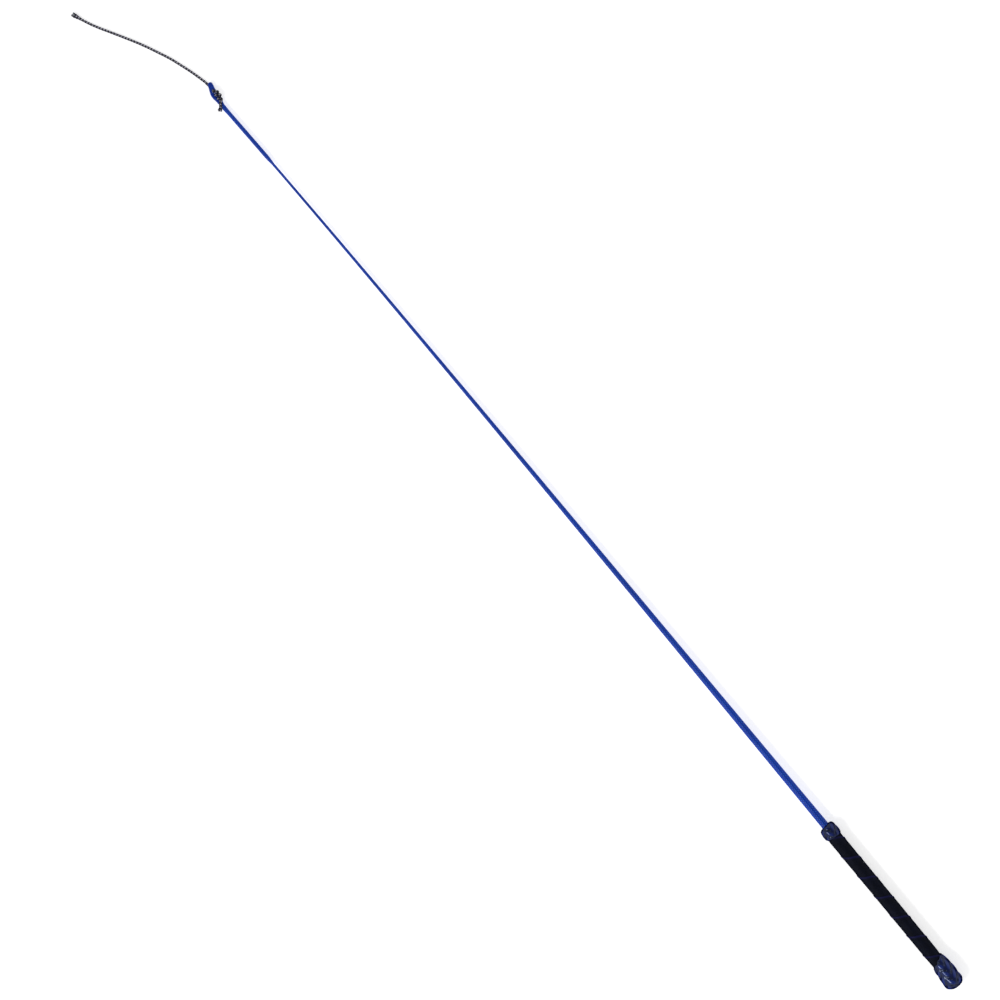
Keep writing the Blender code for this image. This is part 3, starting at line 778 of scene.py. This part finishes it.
row = 0
for i, (ua, ub) in enumerate(zip(cuts, cuts[1:])):
    if i == len(cuts) - 2:
        ub = 1.0818
    piece, _, row = braided_cord(
        "sleeve_%d" % (i + 1), shaft_line, float(s_of_u(ua)), float(s_of_u(ub)),
        lambda s: sleeve_r(u_of_s(s)) - 0.00004, 12, SLEEVE_D,
        lambda s: np.clip(0.055 * sleeve_r(u_of_s(s)), 0.00007, 0.00022), m=3, row0=row, oval=shaft_oval,
        inner=lambda s: sleeve_r(u_of_s(s)) - 0.00045 - 0.0002 * (sleeve_r(u_of_s(s)) / SLEEVE_BUTT_R))
    dress(piece, M_SLEEVE)
    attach(piece, "whip")
    if i == 0:
        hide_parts("braided_sleeve")

# -------------------------------------------------------------------- grip
NG = 120
us = np.arange(GRIP_U0, GRIP_U1 + 1e-9, 0.0004)
th = TAU * np.arange(NG) / NG
UU, TH = np.meshgrid(us, th, indexing="ij")
phase = np.mod((UU - 0.9275 + PITCH * (TH + 0.9) / TAU) / PITCH, 1.0)
# the strip's front edge lies over the turn before it
ridge_w = 0.085
edge_h = 0.00034 * np.exp(-((phase - ridge_w * 0.62) / (ridge_w * 0.52)) ** 2)
slope_h = 0.00012 * (1 - phase)
step_h = 0.00022 * sstep(0.0, 0.018, phase)
dip = -0.00010 * np.exp(-(((phase + 0.5) % 1.0 - 0.5 + 0.012) / 0.012) ** 2)
un = value_noise(UU * 380, np.cos(TH) * 2.4 + 7, np.sin(TH) * 2.4 + 3) - 0.5
peb = value_noise(UU * 1500, np.cos(TH) * 9.5 + 17, np.sin(TH) * 9.5 + 31) - 0.5
# fuller in the hand than under the collar and the cap
full = sstep(0.9175, 0.9215, UU) * (1 - sstep(1.0600, 1.0640, UU))
h = edge_h + slope_h + step_h + dip + 0.00016 * un + 0.00009 * peb + 0.00024 * full
RR = GRIP_R - 0.00030 + h
C = centre(us)
V = np.stack([UU - X_MID, C[:, None, 1] + RR * np.cos(TH), C[:, None, 2] + RR * np.sin(TH)], -1).reshape(-1, 3)
rows = len(us)
k = np.arange(NG)
kk = (k + 1) % NG
faces = []
for r in range(rows - 1):
    faces += np.stack([r*NG + k, r*NG + kk, (r+1)*NG + kk, (r+1)*NG + k], 1).tolist()
base = rows * NG
ring_v = []
for u_i in (us[-1], us[0]):
    c_i = centre(u_i)
    ring_v.append(np.stack([np.full(NG, c_i[0]), c_i[1] + 0.0059 * np.cos(th), c_i[2] + 0.0059 * np.sin(th)], -1))
faces += np.stack([(rows-1)*NG + k, (rows-1)*NG + kk, base + kk, base + k], 1).tolist()
faces += np.stack([base + k, base + kk, base + NG + kk, base + NG + k], 1).tolist()
faces += np.stack([base + NG + k, base + NG + kk, kk, k], 1).tolist()
seam = np.exp(-((phase - ridge_w * 0.6) / (ridge_w * 0.55)) ** 2)
# where the strip dips under the next turn: the mask for painted shade
edge = np.exp(-(((phase + 0.5) % 1.0 - 0.5 + 0.006) / 0.016) ** 2)
grip = make_mesh("grip_leather_strip", np.concatenate([V] + ring_v), faces,
                 {"seam": np.concatenate([seam.ravel(), np.zeros(2*NG)]),
                  "edge": np.concatenate([edge.ravel(), np.zeros(2*NG)])})
# faces above run round the whip the left-hand way, so they are turned outward
grip.data.flip_normals()
dress(grip, M_GRIP)
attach(grip, "whip")
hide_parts("grip_wrap")

# -------------------------------------------------------------- cap, collar
cap_outer = [(31.0, 7.05), (30.8, 7.42), (30.0, 7.70), (28.5, 7.95), (26.0, 8.25), (21.5, 8.75), (17.0, 9.02),
             (12.5, 9.18), (9.5, 9.24), (7.0, 9.26), (5.6, 9.20), (4.4, 8.90), (3.2, 8.15), (2.2, 7.10),
             (1.3, 5.95), (0.6, 4.85), (0.40, 3.70)]
cap_inner = [(0.6, 3.45), (3.4, 3.45), (3.4, 6.80), (5.5, 8.02), (9.5, 8.16), (21.0, 7.45), (26.0, 7.40),
             (26.3, 6.96), (30.8, 6.92)]
as_u = lambda prof, end: [(end - v * MM, r * MM) for v, r in prof]


def cap_fade(t, full):
    return 0.35 + 0.65 * sstep(0.0, 0.004, t) * (1 - 0.75 * sstep(full - 0.0065, full - 0.001, t))


cap = plaited_shell("cap_plait", as_u(cap_outer, WHIP_LEN), as_u(cap_inner, WHIP_LEN), 8, 0.0046, 0.00072, 12,
                    cap_fade, flat=2.8, scallop=0.0011, turn0=0.35,
                    slant=lambda x: -0.0036 * (1 - sstep(1.0705, 1.0860, x)),
                    lean=lambda x: 0.0004 * sstep(1.072, 1.079, x) * (1 - sstep(1.081, 1.086, x))
                    - 0.0004 * sstep(1.085, 1.090, x) * (1 - sstep(1.0955, 1.0985, x)))
dress(cap, M_CAP)
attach(cap, "whip")
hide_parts("cap_cover")

collar_outer = [(-0.8, 6.95), (-0.65, 7.15), (-0.1, 7.45), (0.9, 7.80), (2.4, 8.02), (5.2, 8.12), (8.0, 8.05),
                (9.8, 7.75), (11.2, 7.20), (12.2, 6.40), (12.7, 5.4), (12.75, 4.3)]
collar_inner = [(10.6, 4.05), (10.6, 7.02), (4.5, 7.02), (4.2, 6.90), (-0.55, 6.88)]
# profiles run with the whip, so the collar's is read from its front backwards
co = [(COLLAR_U1 - v * MM, r * MM) for v, r in collar_outer][::-1]
ci = [(COLLAR_U1 - v * MM, r * MM) for v, r in collar_inner][::-1]


def collar_fade(t, full):
    return 0.25 + 0.75 * sstep(0.0015, 0.0045, t) * (1 - 0.6 * sstep(full - 0.0022, full, t))


collar = plaited_shell("collar_plait", co, ci, 8, 0.0043, 0.00076, 12, collar_fade, flat=2.8, turn0=1.1,
                       slant=lambda x: -0.0007 * (1 - sstep(0.9070, 0.9110, x)) + 0.0006 * sstep(0.9140, 0.9180, x))
dress(collar, M_COLLAR)
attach(collar, "whip")
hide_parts("collar_knot")


# ------------------------------------------------- turned pieces in the cap
def turned(name, prof, sides, wob=None):
    prof = np.asarray(prof, float)
    th_ = TAU * np.arange(sides) / sides
    verts, faces_ = [], []
    for u_i, r_i in prof:
        c_i = centre(u_i)
        r_ = np.full(sides, r_i) if wob is None else r_i + wob(u_i, th_, r_i)
        verts.append(np.stack([np.full(sides, c_i[0]), c_i[1] + r_ * np.cos(th_), c_i[2] + r_ * np.sin(th_)], -1))
    q = np.arange(sides)
    qq = (q + 1) % sides
    for a in range(len(prof) - 1):
        faces_ += np.stack([a*sides + q, a*sides + qq, (a+1)*sides + qq, (a+1)*sides + q], 1).tolist()
    return np.concatenate(verts), faces_


# end button: a skived disc pressed flat, with a rolled rim and radial creases
prof = [(WHIP_LEN - 0.0034, 0.0033), (WHIP_LEN - 0.0009, 0.0033), (WHIP_LEN - 0.0004, 0.00322),
        (WHIP_LEN - 0.00012, 0.00305), (WHIP_LEN, 0.0028), (WHIP_LEN, 0.0022), (WHIP_LEN - 0.00006, 0.0015),
        (WHIP_LEN - 0.00008, 0.0008)]
V, F = turned("b", prof, 48, lambda u, t, r: 0.00003 * np.cos(8 * t) * (r / 0.0033))
nv = len(V)
c0, c1 = centre(WHIP_LEN - 0.0034), centre(WHIP_LEN - 0.00008)
V = np.concatenate([V, [c0], [c1]])
for i in range(48):
    F.append([(i+1) % 48, i, nv])
    F.append([nv - 48 + i, nv - 48 + (i+1) % 48, nv + 1])
button = make_mesh("cap_button", V, F, angle=40)
button.data.flip_normals()
dress(button, M_BUTTON)
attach(button, "whip")
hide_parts("cap_end_disc")

# the two thread bindings, each a close winding of waxed thread
for name, ua, ub, ro, node in (("binding_front", 0.9085, 0.9132, 0.0069, "front_binding"),
                               ("binding_rear", 1.0738, 1.0785, 0.0071, "rear_binding")):
    turns_ = 9
    prof = []
    for i in range(turns_ * 6 + 1):
        f = i / (turns_ * 6.0)
        prof.append((ua + (ub - ua) * f, ro - 0.00022 + 0.00020 * abs(math.sin(math.pi * turns_ * f))))
    prof = prof + [(ub, 0.0059), (ua, 0.0059), prof[0]]
    V, F = turned(name, prof[:-1], 40)
    sides = 40
    q = np.arange(sides)
    qq = (q + 1) % sides
    F += np.stack([(len(prof)-2)*sides + q, (len(prof)-2)*sides + qq, qq, q], 1).tolist()
    th_b = make_mesh(name, V, F, angle=50)
    th_b.data.flip_normals()
    dress(th_b, M_THREAD)
    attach(th_b, "whip")
    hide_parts(node)

# carried-over solids inside the handle and the sleeve
for node, mat in (("core_rod", M_ROD), ("spliced_tail", M_TAIL), ("handle_tube", M_TUBE), ("cap_plug", M_WOOD)):
    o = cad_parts[node]
    o.data.materials.clear()
    o.data.materials.append(mat)

# ------------------------------------------------------------------- stage
me = bpy.data.meshes.new("floor")
me.from_pydata([(-9, -9, 0), (9, -9, 0), (9, 9, 0), (-9, 9, 0)], [], [(0, 1, 2, 3)])
floor = bpy.data.objects.new("floor", me)
scene.collection.objects.link(floor)
g = Nodes("floor_white")
nz = g.noise(3.0, 2.0)
g.out(g.mix(nz, (0.92, 0.92, 0.92, 1), (0.95, 0.95, 0.95, 1)), 0.9, spec=0.05)
# a lit table top: it glows a little, so that shadows stay soft and pale
g.b.inputs["Emission Color"].default_value = (1.0, 1.0, 1.0, 1.0)
g.b.inputs["Emission Strength"].default_value = 0.52
me.materials.append(g.m)

# pale walls all round and a darker ceiling, so that tops read deep and sides read bright
WALL_LIGHT, CEIL_LIGHT = 0.80, 0.22
world = bpy.data.worlds.new("studio")
scene.world = world
world.use_nodes = True
wt = world.node_tree
tc = wt.nodes.new("ShaderNodeTexCoord")
sep = wt.nodes.new("ShaderNodeSeparateXYZ")
wt.links.new(tc.outputs["Generated"], sep.inputs[0])
ramp = wt.nodes.new("ShaderNodeMapRange")
ramp.interpolation_type = "SMOOTHSTEP"
for sock, v in zip(ramp.inputs[1:5], (0.45, 0.93, WALL_LIGHT, CEIL_LIGHT)):
    sock.default_value = v
wt.links.new(sep.outputs[2], ramp.inputs[0])
low = wt.nodes.new("ShaderNodeMapRange")
low.interpolation_type = "SMOOTHSTEP"
for sock, v in zip(low.inputs[1:5], (0.12, 0.30, 0.24, 0.0)):
    sock.default_value = v
wt.links.new(sep.outputs[2], low.inputs[0])
both = wt.nodes.new("ShaderNodeMath")
both.operation = "ADD"
wt.links.new(ramp.outputs[0], both.inputs[0])
wt.links.new(low.outputs[0], both.inputs[1])
wt.links.new(both.outputs[0], wt.nodes["Background"].inputs[1])
wt.nodes["Background"].inputs[0].default_value = (1.0, 1.0, 1.0, 1.0)


def area(name, loc, target, size, size_y, power, colour=(1, 1, 1)):
    ld = bpy.data.lights.new(name, "AREA")
    ld.shape = "RECTANGLE"
    ld.size, ld.size_y = size, size_y
    ld.energy = power
    ld.color = colour
    ob = bpy.data.objects.new(name, ld)
    ob.location = loc
    d = Vector(target) - Vector(loc)
    ob.rotation_euler = d.to_track_quat("-Z", "Y").to_euler()
    scene.collection.objects.link(ob)


area("key", (0.25, -1.6, 1.8), (0.0, 0.0, 0.0), 1.3, 0.4, 22.0)
area("fill", (-0.5, 1.7, 1.7), (0.0, 0.0, 0.0), 1.6, 1.0, 2.5)

scene.view_settings.view_transform = "Standard"
scene.view_settings.look = "None"
